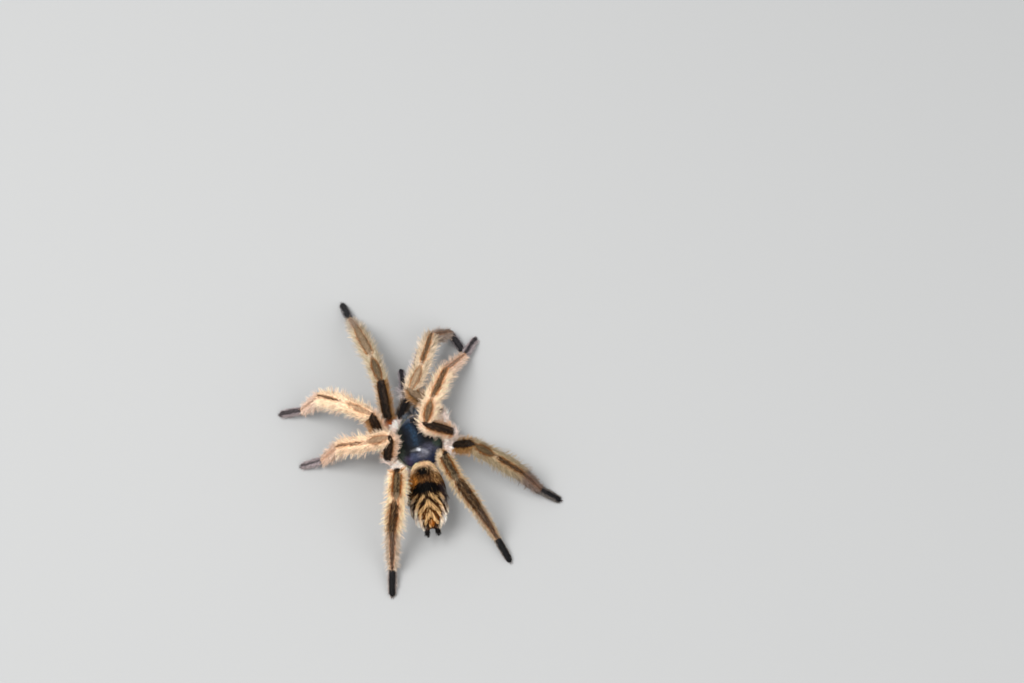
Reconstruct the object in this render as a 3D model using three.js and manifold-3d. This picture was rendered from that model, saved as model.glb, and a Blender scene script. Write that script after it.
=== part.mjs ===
// A tarantula standing with its second right leg folded in over the carapace.
// Millimetres, Z up. The spider faces +Y and its own right side is +X.
// The solids reach out to the tips of the coat.
import * as THREE from "three";
import { mergeVertices } from "three/addons/utils/BufferGeometryUtils.js";
import Module from "manifold-3d";

const GAP = 0.3;
const SMOOTHING = 0.15;

const CARAPACE_LENGTH = 17.4;
const CARAPACE_WIDTH = 15.2;
const CARAPACE_RIM_Z = 8.9;
const CARAPACE_SAG = 0.5;
const CARAPACE_RISE = 3.6;
const CARAPACE_MIDDLE_Y = 3.6;
const CAPUT_RISE = 1.0;

const STERNUM_LENGTH = 13;
const STERNUM_WIDTH = 10;
const STERNUM_HEIGHT = 3.8;
const STERNUM_MIDDLE_Y = 2.6;
const COXA_Z = 6.3;
const COXA_RADIUS = 2.2;
const COXA_DEPTH = 0.82;
const COXA_REACH = 0.56;

const ABDOMEN_LENGTH = 23.6;
const ABDOMEN_WIDTH = 13.8;
const ABDOMEN_HEIGHT = 12.4;
const ABDOMEN_Z = 9.2;
const ABDOMEN_FRONT_Y = -1.8;
const ABDOMEN_SWING_DEG = 4;

const CHELICERA_LENGTH = 6.6;
const CHELICERA_WIDTH = 3.9;
const CHELICERA_HEIGHT = 5.6;
const FANG_LENGTH = 4.6;
const FANG_RADIUS = 0.75;

const SPINNERET_LENGTH = 2.8;
const SPINNERET_RADIUS = 0.95;

const TUBERCLE_WIDTH = 2.6;
const TUBERCLE_LENGTH = 1.7;
const TUBERCLE_HEIGHT = 1.5;
const EYE_RADIUS = 0.34;
// Outwards and forwards as parts of the tubercle, upwards in millimetres.
const EYE_PLACES = [[0.38, 0.45, 0.42], [0.85, 0.5, 0.05], [0.85, -0.35, 0.12], [0.5, -0.5, 0.35]];

const SEGMENT_NAMES = ["femur", "patella", "tibia", "metatarsus", "tarsus"];
const PALP_NAMES = ["femur", "patella", "tibia", "tarsus"];

// Where each pair of limbs leaves the body, on the spider's right side, and the
// two hips that are swung further out.
const ROOTS = {
  palp: [4.9, 12.4],
  leg1: [8.0, 11.0],
  leg2: [10.8, 6.4],
  leg3: [10.7, 0.4],
  leg4: [8.5, -5.0],
  leg_r1: [10.0, 10.4],
  leg_r2: [12.2, 4.4],
};

// Lengths of the segments, from the trochanter out.
const LENGTHS = {
  palp: [8.4, 5.2, 6.2, 7.2],
  leg1: [14.6, 9.0, 11.6, 10.4, 7.3],
  leg2: [13.2, 9.0, 12.6, 11.4, 7.7],
  leg3: [12.0, 7.7, 9.8, 10.4, 7.3],
  leg4: [14.0, 8.0, 12.0, 14.6, 8.2],
};

// Half widths at the two ends and the swelling between them, coat included.
const LEG_WIDTHS = {
  femur: [2.3, 2.9, 0.5],
  patella: [3.1, 3.5, 0.3],
  tibia: [3.6, 3.4, 0.4],
  metatarsus: [3.3, 2.1, 0.2],
  tarsus: [1.5, 1.45, 0.25],
};
const PALP_WIDTHS = {
  femur: [1.4, 1.6, 0.2],
  patella: [1.6, 1.7, 0.1],
  tibia: [1.7, 1.6, 0.2],
  tarsus: [1.3, 1.2, 0.2],
};
const LEG_DEPTH = 0.84;

const ANKLE_Z = 3.0;
const SOLE_DEPTH = 0.6;

// The pose. Turns are degrees from straight ahead towards the spider's right;
// lifts are degrees above level. The last two lifts follow from the floor.
const POSE = {
  palp_l: { turns: [43, -7, 3, 3], lifts: [41, -45] },
  palp_r: { turns: [-24, 10, 20, 22], lifts: [4, -30] },
  leg_l1: { turns: [2, -7, -14, -14, -13], lifts: [29, -1, -14] },
  leg_l2: { turns: [-17, -56, -49, -89, -82], lifts: [60, 17, -41] },
  leg_l3: { turns: [33, -85, -78, -97, -87], lifts: [67, -19, -23] },
  leg_l4: { turns: [178, -166, -156, -164, -167], lifts: [77, 16, -49] },
  leg_r1: { turns: [-47, 34, 27, 68, 156], lifts: [32, -5, -14] },
  leg_r2: { turns: [-78, 23, 33, 51, 41], lifts: [46, -15, -20] },
  leg_r3: { turns: [125, 127, 130, 133, 128], lifts: [57, -18, -21] },
  leg_r4: { turns: [-109, 164, 153, 153, 162], lifts: [81, 4, -34] },
};

const COLOURS = {
  carapace: 0x1c2430,
  sternum: 0x2a211c,
  abdomen: 0xb87a3c,
  chelicera: 0x2a333d,
  fang: 0x1a0d0a,
  spinneret: 0x2b1c14,
  eye_tubercle: 0x0c0c10,
  femur: 0x6e4a2c,
  patella: 0xc89a6c,
  tibia: 0xd8a878,
  metatarsus: 0xcfa88a,
  tarsus: 0x2c2828,
};

const wasm = await Module();
wasm.setup();

const radians = THREE.MathUtils.degToRad;
const UP = new THREE.Vector3(0, 0, 1);

function toSolid(geometry) {
  const bare = geometry.clone();
  bare.deleteAttribute("normal");
  bare.deleteAttribute("uv");
  const merged = mergeVertices(bare, 1e-4);
  return new wasm.Manifold(new wasm.Mesh({
    numProp: 3,
    vertProperties: new Float32Array(merged.attributes.position.array),
    triVerts: new Uint32Array(merged.index.array),
  }));
}

function toGeometry(solid) {
  const mesh = solid.getMesh();
  const geometry = new THREE.BufferGeometry();
  geometry.setAttribute("position", new THREE.BufferAttribute(mesh.vertProperties, 3));
  geometry.setIndex(new THREE.BufferAttribute(mesh.triVerts, 1));
  geometry.computeVertexNormals();
  return geometry;
}

// A unit ball with its poles front and rear, moved point by point.
function shapedBall(around, along, shape) {
  const ball = new THREE.SphereGeometry(1, around, along);
  const position = ball.attributes.position;
  const point = new THREE.Vector3();
  for (let i = 0; i < position.count; i += 1) {
    point.fromBufferAttribute(position, i);
    shape(point);
    position.setXYZ(i, point.x, point.y, point.z);
  }
  return ball;
}

// A straight round-ended piece between two points, wider than it is deep.
function limbPiece(from, to, widths, depth, around, grow) {
  const [startWidth, endWidth, swell] = widths;
  const length = from.distanceTo(to) - GAP + 2 * grow;
  const halfWidth = (t) => {
    const straight = THREE.MathUtils.lerp(startWidth, endWidth, t);
    return straight + swell * Math.sin(Math.PI * t) + grow;
  };
  const startCap = 0.3 * startWidth;
  const endCap = 0.4 * endWidth;
  const profile = [
    new THREE.Vector2(0, 0),
    new THREE.Vector2(halfWidth(0), startCap),
    new THREE.Vector2(halfWidth(0.5), length / 2),
    new THREE.Vector2(halfWidth(1), length - endCap),
    new THREE.Vector2(halfWidth(1) * 0.8, length - endCap * 0.25),
    new THREE.Vector2(0, length),
  ];
  const piece = new THREE.LatheGeometry(profile, around);
  const forward = to.clone().sub(from).normalize();
  const side = new THREE.Vector3().crossVectors(forward, UP).normalize();
  const top = new THREE.Vector3().crossVectors(side, forward);
  piece.scale(1, 1, depth);
  const placed = new THREE.Matrix4().makeBasis(side, forward, top);
  placed.setPosition(from.clone().addScaledVector(forward, GAP / 2 - grow));
  return piece.applyMatrix4(placed);
}

function direction(turnDeg, liftDeg) {
  const level = Math.cos(radians(liftDeg));
  return new THREE.Vector3(
    Math.sin(radians(turnDeg)) * level,
    Math.cos(radians(turnDeg)) * level,
    Math.sin(radians(liftDeg)),
  );
}

// The joints of one limb; the last two pieces come down to ankle and toe.
function limbJoints(root, lengths, pose, toeZ) {
  const joints = [root.clone()];
  lengths.forEach((length, i) => {
    const start = joints[i];
    let lift = pose.lifts[i];
    if (lift === undefined) {
      const goal = i === lengths.length - 1 ? toeZ : ANKLE_Z;
      lift = THREE.MathUtils.radToDeg(Math.asin((goal - start.z) / length));
    }
    joints.push(start.clone().addScaledVector(direction(pose.turns[i], lift), length));
  });
  return joints;
}

// The carapace: a low oval shield, narrower in front, with a raised caput
// and the small pit of the fovea behind its middle.
function carapace(grow) {
  return shapedBall(20, 14, (p) => {
    const along = p.y;
    const narrowing = 1 - 0.2 * Math.max(along, -0.3) ** 2 - 0.1 * along;
    const above = p.z > 0;
    const ridge = Math.exp(-((along - 0.5) ** 2) / 0.12 - (p.x ** 2) / 0.12);
    const pit = Math.exp(-((along + 0.28) ** 2) / 0.006 - (p.x ** 2) / 0.03);
    p.x *= (CARAPACE_WIDTH / 2 + grow) * narrowing;
    p.y = CARAPACE_MIDDLE_Y + along * (CARAPACE_LENGTH / 2 + grow);
    p.z = CARAPACE_RIM_Z + p.z * ((above ? CARAPACE_RISE : CARAPACE_SAG) + grow);
    if (above) {
      p.z += CAPUT_RISE * ridge - 0.5 * pit;
    }
  });
}

function eyeTubercle(grow) {
  const y = CARAPACE_MIDDLE_Y + CARAPACE_LENGTH * 0.37;
  const z = CARAPACE_RIM_Z + CARAPACE_RISE * 0.82;
  let solid = toSolid(shapedBall(10, 6, (p) => {
    p.x *= TUBERCLE_WIDTH / 2 + grow;
    p.y = y + p.y * (TUBERCLE_LENGTH / 2 + grow);
    p.z = z + p.z * (TUBERCLE_HEIGHT / 2 + grow);
  }));
  for (const side of [-1, 1]) {
    for (const [out, forward, up] of EYE_PLACES) {
      const eye = new THREE.SphereGeometry(EYE_RADIUS + grow, 6, 4);
      eye.translate(side * out * TUBERCLE_WIDTH / 2, y + forward * TUBERCLE_LENGTH, z + up);
      solid = solid.add(toSolid(eye));
    }
  }
  return solid;
}

function abdomenPlace(back, across, height) {
  const swing = radians(ABDOMEN_SWING_DEG);
  return new THREE.Vector3(
    across * Math.cos(swing) - back * Math.sin(swing),
    ABDOMEN_FRONT_Y - across * Math.sin(swing) - back * Math.cos(swing),
    height,
  );
}

// The abdomen: an egg, fuller behind its middle and lower towards the tail.
function abdomen(grow) {
  return shapedBall(20, 12, (p) => {
    const along = p.y;
    const fullness = 1 - 0.1 * along - 0.06 * along ** 2;
    const drop = 1.6 * Math.max(0, -along) ** 2;
    const half = ABDOMEN_LENGTH / 2;
    const across = p.x * (ABDOMEN_WIDTH / 2 + grow) * fullness;
    const height = ABDOMEN_Z - drop + p.z * (ABDOMEN_HEIGHT / 2 + grow) * fullness;
    p.copy(abdomenPlace(half - along * (half + grow), across, height));
  });
}

function chelicera(side, grow) {
  const rear = CARAPACE_MIDDLE_Y + CARAPACE_LENGTH * 0.38;
  return shapedBall(12, 8, (p) => {
    const along = (p.y + 1) / 2;
    p.x = side * (CHELICERA_WIDTH / 2 + GAP / 2) + p.x * (CHELICERA_WIDTH / 2 + grow);
    p.y = rear + CHELICERA_LENGTH / 2 + p.y * (CHELICERA_LENGTH / 2 + grow);
    p.z = 7.1 - 1.3 * along ** 2 + p.z * (CHELICERA_HEIGHT / 2 + grow);
  });
}

// A fang, hinged at the front of its chelicera and folded back beneath it.
function fang(side, grow) {
  const x = side * (CHELICERA_WIDTH / 2 + GAP / 2);
  const hinge = new THREE.Vector3(x, CARAPACE_MIDDLE_Y + CARAPACE_LENGTH * 0.38 + CHELICERA_LENGTH * 0.86, 3.6);
  const tip = new THREE.Vector3(x * 0.6, hinge.y - FANG_LENGTH, 2.4);
  const piece = limbPiece(hinge, tip, [FANG_RADIUS, 0.3, 0.1], 1, 10, grow);
  const position = piece.attributes.position;
  for (let i = 0; i < position.count; i += 1) {
    const t = (hinge.y - position.getY(i)) / FANG_LENGTH;
    position.setZ(i, position.getZ(i) - 1.4 * t * (1 - t));
  }
  return piece;
}

function spinneret(side, grow) {
  const from = abdomenPlace(ABDOMEN_LENGTH - 1.6, side * 1.25, ABDOMEN_Z - 1.9);
  const to = abdomenPlace(ABDOMEN_LENGTH - 1.6 + SPINNERET_LENGTH, side * 1.9, ABDOMEN_Z - 1.2);
  return limbPiece(from, to, [SPINNERET_RADIUS, SPINNERET_RADIUS * 0.75, 0.1], 1, 8, grow);
}

// The sternum with the coxae round it, the under part of the cephalothorax.
function sternum(roots, grow) {
  let solid = toSolid(shapedBall(12, 6, (p) => {
    p.x *= STERNUM_WIDTH / 2 + grow;
    p.y = STERNUM_MIDDLE_Y + p.y * (STERNUM_LENGTH / 2 + grow);
    p.z = COXA_Z + p.z * (STERNUM_HEIGHT / 2 + grow);
  }));
  const middle = new THREE.Vector3(0, STERNUM_MIDDLE_Y, COXA_Z);
  for (const root of roots) {
    const start = root.clone().lerp(middle, COXA_REACH);
    const size = root.y > 10 ? 0.72 : 1;
    const widths = [COXA_RADIUS * size * 0.85, COXA_RADIUS * size, 0.1];
    solid = solid.add(toSolid(limbPiece(start, root, widths, COXA_DEPTH, 8, grow)));
  }
  return solid;
}

const limbs = Object.entries(POSE).map(([name, pose]) => {
  const isPalp = name.startsWith("palp");
  const kind = isPalp ? "palp" : `leg${name.at(-1)}`;
  const side = name.includes("_l") ? -1 : 1;
  const [out, forward] = ROOTS[name] ?? ROOTS[kind];
  const root = new THREE.Vector3(side * out, forward, COXA_Z);
  const widths = isPalp ? PALP_WIDTHS : LEG_WIDTHS;
  const toeZ = widths.tarsus[1] * LEG_DEPTH - SOLE_DEPTH;
  const joints = limbJoints(root, LENGTHS[kind], pose, toeZ);
  return { name, segments: isPalp ? PALP_NAMES : SEGMENT_NAMES, widths, joints };
});

const roots = limbs.map((limb) => limb.joints[0]);
const pieces = [
  { name: "eye_tubercle", build: eyeTubercle },
  { name: "carapace", build: (grow) => toSolid(carapace(grow)) },
  { name: "sternum", build: (grow) => sternum(roots, grow) },
  { name: "abdomen", build: (grow) => toSolid(abdomen(grow)) },
];
for (const [suffix, side] of [["l", -1], ["r", 1]]) {
  pieces.push({ name: `chelicera_${suffix}`, build: (grow) => toSolid(chelicera(side, grow)) });
  pieces.push({ name: `fang_${suffix}`, build: (grow) => toSolid(fang(side, grow)) });
  pieces.push({ name: `spinneret_${suffix}`, build: (grow) => toSolid(spinneret(side, grow)) });
}
for (let i = 0; i < SEGMENT_NAMES.length; i += 1) {
  for (const limb of limbs) {
    const segment = limb.segments[i];
    if (segment !== undefined) {
      const [from, to] = [limb.joints[i], limb.joints[i + 1]];
      const around = limb.name.startsWith("palp") ? 8 : 10;
      const build = (grow) => toSolid(limbPiece(from, to, limb.widths[segment], LEG_DEPTH, around, grow));
      pieces.push({ name: `${limb.name}_${segment}`, build });
    }
  }
}

// Every piece is cut clear of the ones before it, and the feet level with the floor.
const floor = toSolid(new THREE.BoxGeometry(200, 200, 20).translate(0, 0, -10));
const placed = [];
for (const piece of pieces) {
  let solid = piece.build(0);
  const box = solid.boundingBox();
  for (const other of placed) {
    const clear = [0, 1, 2].some((k) => box.min[k] > other.box.max[k] || box.max[k] < other.box.min[k]);
    if (!clear) {
      solid = solid.subtract(other.grown);
    }
  }
  const bodies = solid.decompose().sort((a, b) => b.volume() - a.volume());
  const grown = piece.build(GAP);
  solid = bodies[0].simplify(SMOOTHING).subtract(floor);
  placed.push({ name: piece.name, solid, grown, box: grown.boundingBox() });
}

const group = new THREE.Group();
for (const { name, solid } of placed) {
  const kind = Object.keys(COLOURS).find((word) => name.includes(word));
  const material = new THREE.MeshStandardMaterial({ color: COLOURS[kind], roughness: 0.8 });
  const mesh = new THREE.Mesh(toGeometry(solid), material);
  mesh.name = name;
  group.add(mesh);
}

// The middle of the bounding box's underside goes to the origin.
const middle = new THREE.Box3().setFromObject(group).getCenter(new THREE.Vector3());
group.position.set(-middle.x, -middle.y, 0);

export default group;
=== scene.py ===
import math

import bpy
import numpy as np
from mathutils import Matrix, Vector
from mathutils.kdtree import KDTree


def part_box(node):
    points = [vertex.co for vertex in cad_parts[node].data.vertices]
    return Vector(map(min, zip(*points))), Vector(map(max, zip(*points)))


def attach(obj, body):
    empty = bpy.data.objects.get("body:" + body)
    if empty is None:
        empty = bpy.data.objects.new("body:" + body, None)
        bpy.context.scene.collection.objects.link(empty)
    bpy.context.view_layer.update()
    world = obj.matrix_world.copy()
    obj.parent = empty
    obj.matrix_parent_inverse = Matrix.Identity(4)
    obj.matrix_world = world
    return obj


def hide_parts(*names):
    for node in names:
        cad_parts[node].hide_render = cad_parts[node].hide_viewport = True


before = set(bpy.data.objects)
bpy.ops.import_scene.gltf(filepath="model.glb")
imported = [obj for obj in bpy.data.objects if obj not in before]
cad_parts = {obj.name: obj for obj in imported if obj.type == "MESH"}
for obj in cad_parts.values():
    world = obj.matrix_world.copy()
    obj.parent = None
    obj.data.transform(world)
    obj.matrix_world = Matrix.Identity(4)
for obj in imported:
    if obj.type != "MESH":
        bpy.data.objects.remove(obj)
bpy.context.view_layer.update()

# Camera and view
# The spider is seen from behind and high above, small and left of the middle, with the
# floor in front of it taking up the right side of the view.
MM = 0.001

CAMERA_AIM = Vector((37.6, 24.2, 0.0)) * MM
CAMERA_DISTANCE = 560 * MM
CAMERA_TURN = math.radians(13)
CAMERA_RAISE = math.radians(71)

bpy.ops.object.select_all(action="DESELECT")
camera_back = Vector((
    -math.sin(CAMERA_TURN) * math.cos(CAMERA_RAISE),
    -math.cos(CAMERA_TURN) * math.cos(CAMERA_RAISE),
    math.sin(CAMERA_RAISE),
))
bpy.ops.object.camera_add(location=CAMERA_AIM + camera_back * CAMERA_DISTANCE)
camera = bpy.context.object
camera.name = "camera"
camera.rotation_euler = (-camera_back).to_track_quat("-Z", "Y").to_euler()
camera.data.lens = 60.0
camera.data.sensor_width = 36.0
camera.data.clip_start = 0.01
camera.data.clip_end = 20
bpy.context.scene.camera = camera

# Floor and light
# A plain pale studio table, a large soft lamp high on the left, a weaker one on the
# right and an even sky.
bpy.ops.mesh.primitive_plane_add(size=6.0, location=(0, 0, 0))
floor = bpy.context.object
floor.name = "floor"


def set_inputs(node, **values):
    """Sets a node's sockets by name, where an underscore stands for a space."""
    for socket, value in values.items():
        node.inputs[socket.replace("_", " ")].default_value = value


floor_finish = bpy.data.materials.new("pale_table")
floor_finish.use_nodes = True
floor_shader = floor_finish.node_tree.nodes["Principled BSDF"]
set_inputs(floor_shader, Base_Color=(0.375, 0.375, 0.37, 1), Roughness=0.9)
floor.data.materials.append(floor_finish)


def soft_lamp(name, place, size, power):
    bpy.ops.object.light_add(type="AREA", location=place)
    lamp = bpy.context.object
    lamp.name = name
    lamp.data.size = size
    lamp.data.energy = power
    lamp.rotation_euler = (-Vector(place)).to_track_quat("-Z", "Y").to_euler()


soft_lamp("key_lamp", (-0.35, 0.12, 0.84), 0.5, 8.5)
soft_lamp("fill_lamp", (0.5, -0.5, 0.62), 0.8, 4.0)
world = bpy.data.worlds.new("even_sky")
world.use_nodes = True
set_inputs(world.node_tree.nodes["Background"], Color=(0.95, 0.97, 1, 1), Strength=0.72)
bpy.context.scene.world = world
bpy.context.scene.view_settings.view_transform = "Standard"

# Skeleton of the pose
# Every leg and palp is a chain of straight segments from its trochanter to its toe. The
# lengths, turns and lifts are those of the solids, and the shield gives the midline.
shield_low, shield_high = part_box("carapace")
MIDLINE = Vector(((shield_low.x + shield_high.x) / 2, (shield_low.y + shield_high.y) / 2, 0)) / MM
SHIELD_MIDDLE_Y = 3.6
ORIGIN = MIDLINE - Vector((0, SHIELD_MIDDLE_Y, 0))

COXA_Z = 6.3
ANKLE_Z = 3.0
ROOTS = {
    "palp": (4.9, 12.4),
    "leg1": (8.0, 11.0),
    "leg2": (10.8, 6.4),
    "leg3": (10.7, 0.4),
    "leg4": (8.5, -5.0),
    "leg_r1": (10.0, 10.4),
    "leg_r2": (12.2, 4.4),
}
LENGTHS = {
    "palp": (8.4, 5.2, 6.2, 7.2),
    "leg1": (14.6, 9.0, 11.6, 10.4, 7.3),
    "leg2": (13.2, 9.0, 12.6, 11.4, 7.7),
    "leg3": (12.0, 7.7, 9.8, 10.4, 7.3),
    "leg4": (14.0, 8.0, 12.0, 14.6, 8.2),
}
TOE_Z = {"palp": 0.41, "leg": 0.62}
POSE = {
    "palp_l": ((43, -7, 3, 3), (41, -45)),
    "palp_r": ((-24, 10, 20, 22), (4, -30)),
    "leg_l1": ((2, -7, -14, -14, -13), (29, -1, -14)),
    "leg_l2": ((-17, -56, -49, -89, -82), (60, 17, -41)),
    "leg_l3": ((33, -85, -78, -97, -87), (67, -19, -23)),
    "leg_l4": ((178, -166, -156, -164, -167), (77, 16, -49)),
    "leg_r1": ((-47, 34, 27, 68, 156), (32, -5, -14)),
    "leg_r2": ((-78, 23, 33, 51, 41), (46, -15, -20)),
    "leg_r3": ((125, 127, 130, 133, 128), (57, -18, -21)),
    "leg_r4": ((-109, 164, 153, 153, 162), (81, 4, -34)),
}
SEGMENTS = {
    "leg": ("femur", "patella", "tibia", "metatarsus", "tarsus"),
    "palp": ("femur", "patella", "tibia", "tarsus"),
}


def limb_joints(limb):
    """The joints of a leg or palp from its root to its toe, in millimetres."""
    kind = limb.split("_")[0]
    family = kind if kind == "palp" else kind + limb[-1]
    side = -1 if "_l" in limb else 1
    turns, lifts = POSE[limb]
    lengths = LENGTHS[family]
    out, forward = ROOTS.get(limb, ROOTS[family])
    joints = [ORIGIN + Vector((side * out, forward, COXA_Z))]
    for i, length in enumerate(lengths):
        start = joints[-1]
        if i < len(lifts):
            rise = length * math.sin(math.radians(lifts[i]))
        elif i == len(lengths) - 1:
            rise = TOE_Z[kind] - start.z
        else:
            rise = ANKLE_Z - start.z
        level = math.sqrt(length ** 2 - rise ** 2)
        turn = math.radians(turns[i])
        joints.append(start + Vector((level * math.sin(turn), level * math.cos(turn), rise)))
    return joints


JOINTS = {limb: limb_joints(limb) for limb in POSE}

# Skin
# One closed skin over the legs, palps, jaws, underside, abdomen and spinnerets. Round
# forms are joined, remeshed to one surface and smoothed; it lies a coat's depth inside
# the solids. The soles are pressed flat.
FLESH = {
    "leg": {
        "femur": (1.55, 1.75),
        "patella": (1.7, 1.8),
        "tibia": (1.75, 1.6),
        "metatarsus": (1.5, 1.15),
        "tarsus": (1.1, 0.95),
    },
    "palp": {
        "femur": (0.95, 1.05),
        "patella": (1.05, 1.1),
        "tibia": (1.1, 1.05),
        "tarsus": (0.95, 0.8),
    },
}
SWELL = 0.14
COXA_FLESH = 1.65
COXA_SWELL = 0.1
TRUNK_Y = 2.6
BREAST_FLESH = (10.2, 13.6, 3.6)
BACK_FLESH = (12.4, 15.0, 3.6)
WAIST_FLESH = (1.6, 1.8)
SPINNERET_FLESH = (0.85, 0.6)
ABDOMEN_FLESH = (11.9, 21.6, 10.9)
ABDOMEN_Z = 9.2
ABDOMEN_FRONT_Y = -1.8
ABDOMEN_LENGTH = 23.6
ABDOMEN_SWING = math.radians(4)
SKIN_VOXEL = 0.32
SOLE_Z = 0.03

forms = []


def new_ball(segments, rings):
    """A ball of radius 1 at the origin, alone selected, to be shaped point by point."""
    bpy.ops.object.select_all(action="DESELECT")
    bpy.ops.mesh.primitive_uv_sphere_add(segments=segments, ring_count=rings, radius=1.0, location=(0, 0, 0))
    return bpy.context.object


def round_form(shape):
    """A ball with its poles front and rear, given its size and place by a shape."""
    ball = new_ball(32, 20)
    ball.data.transform(Matrix.Rotation(math.radians(-90), 4, "X"))
    for vertex in ball.data.vertices:
        vertex.co = shape(vertex.co.copy())
    forms.append(ball)


def egg_shape(middle, size):
    def shape(unit):
        return Vector((unit.x * size[0] / 2, unit.y * size[1] / 2, unit.z * size[2] / 2)) + middle
    return shape


def limb_form(start, end, radii, swell):
    """A tapered round segment with a slight swelling and ball ends."""
    length = (end - start).length
    rod = new_ball(20, 24)
    turn = (end - start).to_track_quat("Z", "Y").to_matrix().to_4x4()
    for vertex in rod.data.vertices:
        unit = vertex.co.copy()
        angle = math.atan2(math.hypot(unit.x, unit.y), unit.z)
        along = 0.5 - 0.5 * max(-1, min(1, unit.z * 1.25))
        radius = radii[1] * (1 - along) + radii[0] * along + swell * math.sin(math.pi * along)
        ring = min(1.0, math.sin(angle) * 1.9)
        reach = length / 2 + 0.45 * (radii[0] + radii[1]) / 2
        outward = Vector((unit.x, unit.y, 0))
        if outward.length > 1e-6:
            outward.normalize()
        vertex.co = outward * radius * ring + Vector((0, 0, unit.z * reach))
    rod.data.transform(Matrix.Translation((start + end) / 2) @ turn)
    forms.append(rod)


def abdomen_point(back, across, height):
    """A place given by its way back and across along the swung abdomen."""
    swing = ABDOMEN_SWING
    return ORIGIN + Vector((
        across * math.cos(swing) - back * math.sin(swing),
        ABDOMEN_FRONT_Y - across * math.sin(swing) - back * math.cos(swing),
        height,
    ))


def abdomen_shape(unit):
    fullness = 1 - 0.1 * unit.y - 0.06 * unit.y ** 2
    drop = 1.6 * max(0, -unit.y) ** 2
    width, length, height = ABDOMEN_FLESH
    across = unit.x * width / 2 * fullness
    return abdomen_point(
        ABDOMEN_LENGTH / 2 - unit.y * length / 2,
        across,
        ABDOMEN_Z - drop + unit.z * height / 2 * fullness,
    )


SHIELD_LENGTH = 17.4
JAW_REAR_Y = SHIELD_MIDDLE_Y + SHIELD_LENGTH * 0.38
JAW_LENGTH = 6.6
JAW_FLESH = (3.6, 6.0, 4.8)
JAW_X = 2.1
JAW_Z = 7.1
JAW_DROOP = 1.3


def jaw_shape(side):
    def shape(unit):
        along = (unit.y + 1) / 2
        return ORIGIN + Vector((
            side * JAW_X + unit.x * JAW_FLESH[0] / 2,
            JAW_REAR_Y + JAW_LENGTH / 2 + unit.y * JAW_FLESH[1] / 2,
            JAW_Z - JAW_DROOP * along ** 2 + unit.z * JAW_FLESH[2] / 2,
        ))
    return shape


for limb, joints in JOINTS.items():
    kind = limb.split("_")[0]
    for i, segment in enumerate(SEGMENTS[kind]):
        limb_form(joints[i], joints[i + 1], FLESH[kind][segment], SWELL)
    inner = joints[0].lerp(ORIGIN + Vector((0, TRUNK_Y, COXA_Z)), 0.7)
    coxa = COXA_FLESH * (0.75 if kind == "palp" else 1)
    limb_form(inner, joints[0], (coxa * 0.9, coxa), COXA_SWELL)

round_form(abdomen_shape)
round_form(egg_shape(ORIGIN + Vector((0, TRUNK_Y, COXA_Z + 0.2)), BREAST_FLESH))
round_form(egg_shape(ORIGIN + Vector((0, 3.4, COXA_Z + 1.9)), BACK_FLESH))
limb_form(ORIGIN + Vector((0, -2.0, 7.6)), ORIGIN + Vector((0.2, -7.0, 8.4)), WAIST_FLESH, 0)
for side in (-1, 1):
    round_form(jaw_shape(side))
    tail = abdomen_point(ABDOMEN_LENGTH - 3.2, side * 1.2, ABDOMEN_Z - 1.7)
    tip = abdomen_point(ABDOMEN_LENGTH + 0.9, side * 1.75, ABDOMEN_Z - 1.2)
    limb_form(tail, tip, SPINNERET_FLESH, 0.05)


def join_parts(parts, name):
    """The one object that several become."""
    bpy.ops.object.select_all(action="DESELECT")
    for part in parts:
        part.select_set(True)
    bpy.context.view_layer.objects.active = parts[0]
    bpy.ops.object.join()
    joined = bpy.context.object
    joined.name = name
    return joined


def read_points(mesh):
    points = np.empty(len(mesh.vertices) * 3)
    mesh.vertices.foreach_get("co", points)
    return points.reshape(-1, 3)


def write_points(mesh, points):
    """Puts a mesh's points where they are given, in millimetres."""
    mesh.vertices.foreach_set("co", (points * MM).ravel())
    mesh.update()


skin = join_parts(forms, "skin")
skin.data.remesh_voxel_size = SKIN_VOXEL
bpy.ops.object.voxel_remesh()
smoothing = skin.modifiers.new("smoothing", "SMOOTH")
smoothing.factor = 0.5
smoothing.iterations = 6
bpy.ops.object.modifier_apply(modifier="smoothing")
skin_points = read_points(skin.data)
skin_points[:, 2] = np.maximum(skin_points[:, 2], SOLE_Z)
write_points(skin.data, skin_points)
bpy.ops.object.shade_smooth()
print("skin", len(skin.data.vertices), len(skin.data.polygons))
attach(skin, "root")

# Places on the body
# Any point of the skin belongs to the nearest leg segment, the abdomen, the jaws or the
# underside. Markings, hair direction and hair length all follow from that place.
ROWS = []
for limb_number, (limb, joints) in enumerate(JOINTS.items()):
    kind = limb.split("_")[0]
    for i, segment in enumerate(SEGMENTS[kind]):
        ROWS.append((limb_number, kind, segment, joints[i], joints[i + 1], FLESH[kind][segment]))
ROW_LIMB = np.array([row[0] for row in ROWS])
ROW_PALP = np.array([row[1] == "palp" for row in ROWS])
FEMUR, PATELLA, TIBIA, METATARSUS, TARSUS = range(5)
ROW_SEGMENT = np.array([SEGMENTS["leg"].index(row[2]) for row in ROWS])
ROW_START = np.array([row[3][:] for row in ROWS])
ROW_SPAN = np.array([(row[4] - row[3])[:] for row in ROWS])
ROW_LENGTH = np.linalg.norm(ROW_SPAN, axis=1)
ROW_AXIS = ROW_SPAN / ROW_LENGTH[:, None]
ROW_TOP = np.array([0.0, 0.0, 1.0]) - ROW_AXIS * ROW_AXIS[:, 2:3]
ROW_TOP /= np.linalg.norm(ROW_TOP, axis=1)[:, None]
ROW_SIDE = np.cross(ROW_AXIS, ROW_TOP)
ROW_RADII = np.array([row[5] for row in ROWS])
LIMB_NAMES = list(JOINTS)
ROW_BEFORE = np.array([
    ROW_LENGTH[(ROW_LIMB == limb) & (np.arange(len(ROWS)) < r)].sum() for r, limb in enumerate(ROW_LIMB)])
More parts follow.
